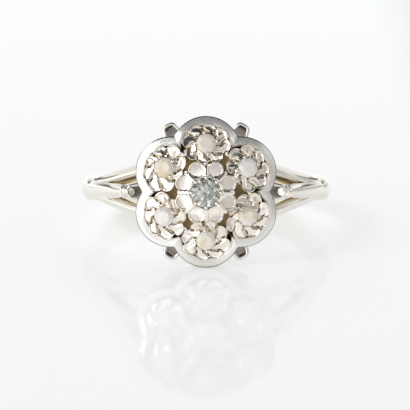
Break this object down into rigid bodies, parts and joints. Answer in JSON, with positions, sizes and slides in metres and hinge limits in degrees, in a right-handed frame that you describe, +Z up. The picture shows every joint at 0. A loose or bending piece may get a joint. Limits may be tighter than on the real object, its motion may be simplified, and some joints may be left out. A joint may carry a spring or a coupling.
{
  "type": "cluster ring",
  "caption": "Finger ring in white gold: a flower-shaped cluster head with a raised centre stone and a wreath of small stones, on a wire gallery and split shoulders.",
  "frame": {"origin": "on the surface that the ring lies on, under the middle of its outline", "axes": "the ring lies on its side: +Z is up, the head faces -Y and looks up a little, +X runs across the hoop"},
  "size_m": [0.0202, 0.0243, 0.0115],
  "materials": {
    "white_gold": "polished",
    "clear_stone": "faceted",
    "cream_stone": "faceted, milky"
  },
  "bodies": {
    "root": {"ring_setting": "white_gold", "centre_stone": "clear_stone", "petal_stone_1": "cream_stone", "petal_stone_2": "cream_stone", "petal_stone_3": "cream_stone", "petal_stone_4": "cream_stone", "petal_stone_5": "cream_stone", "petal_stone_6": "cream_stone"}
  },
  "joints": []
}
